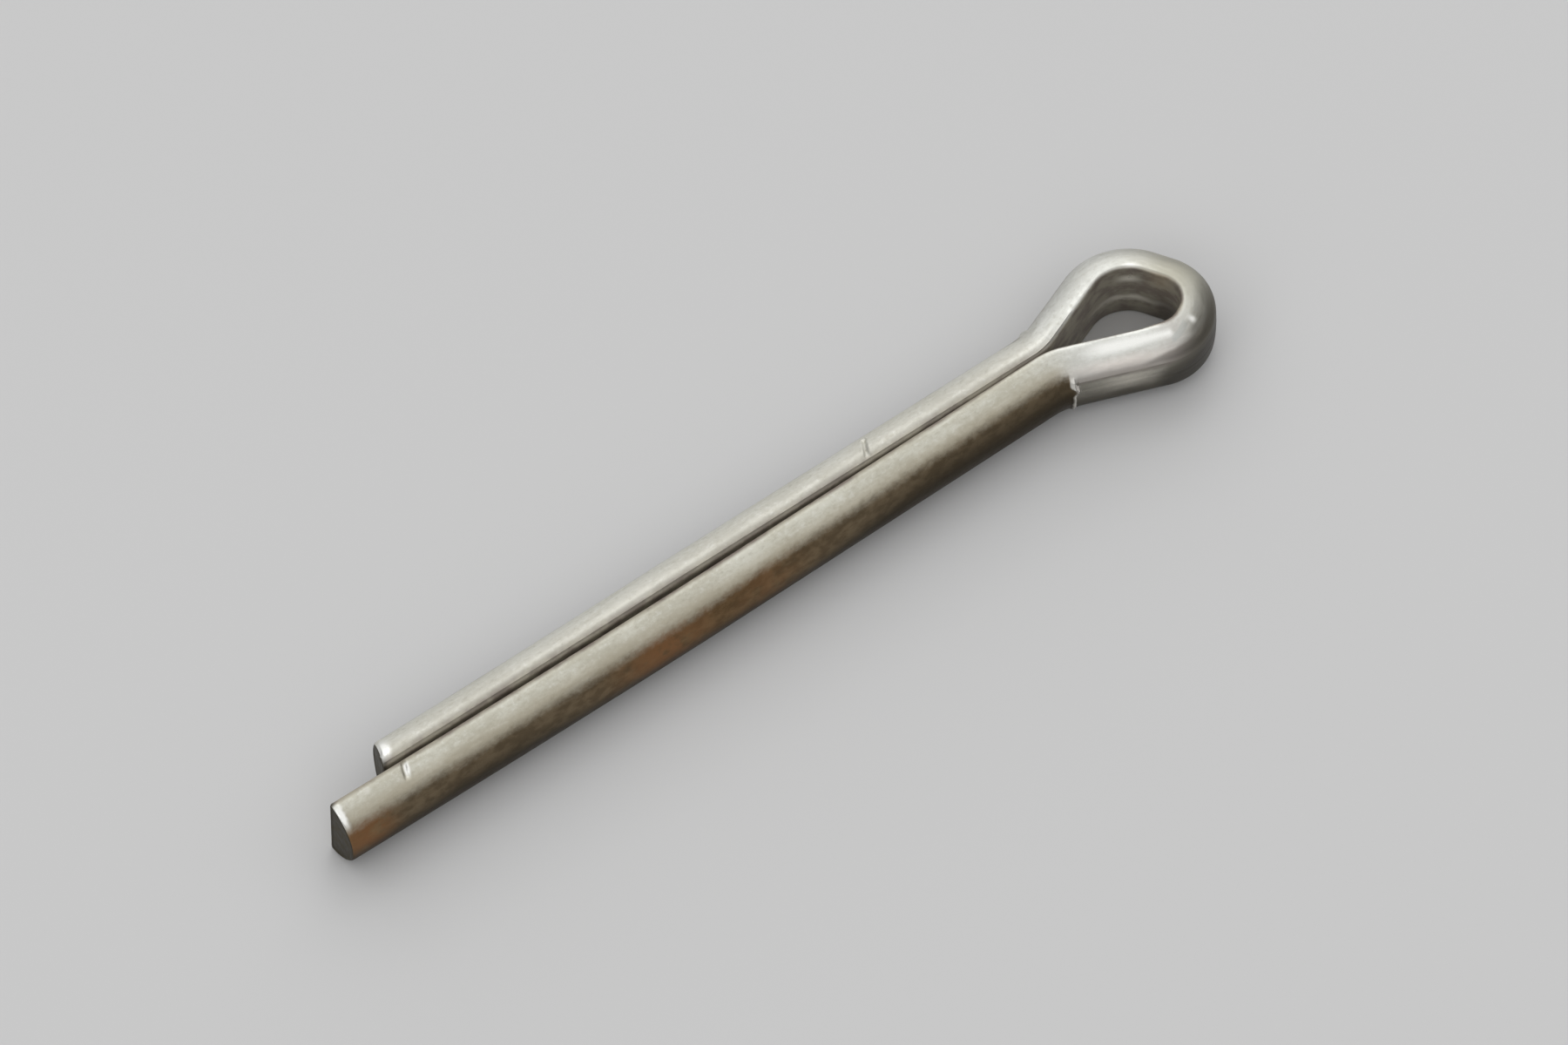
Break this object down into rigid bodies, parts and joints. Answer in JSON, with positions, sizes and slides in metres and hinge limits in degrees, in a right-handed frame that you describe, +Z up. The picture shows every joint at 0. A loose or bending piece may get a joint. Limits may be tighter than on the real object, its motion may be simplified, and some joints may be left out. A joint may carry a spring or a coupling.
{
  "type": "cotter pin",
  "caption": "Split pin of half-round wire, folded into an eye and two straight prongs, one longer; it goes through a cross hole and its prongs are bent apart to lock it.",
  "frame": {"origin": "on the shank's axis where the shoulders of the eye begin, which is where the pin seats in its hole", "axes": "+X along the shank from the eye to the tips, +Y to the side of the longer prong, +Z up with the pin lying flat on a surface"},
  "size_m": [0.0341, 0.0047, 0.0028],
  "materials": {
    "steel": "bright zinc on drawn steel wire, satin, with fine lengthwise drawing marks and a faint brown tint low on the flanks"
  },
  "bodies": {
    "root": {"pin": "steel"}
  },
  "joints": []
}
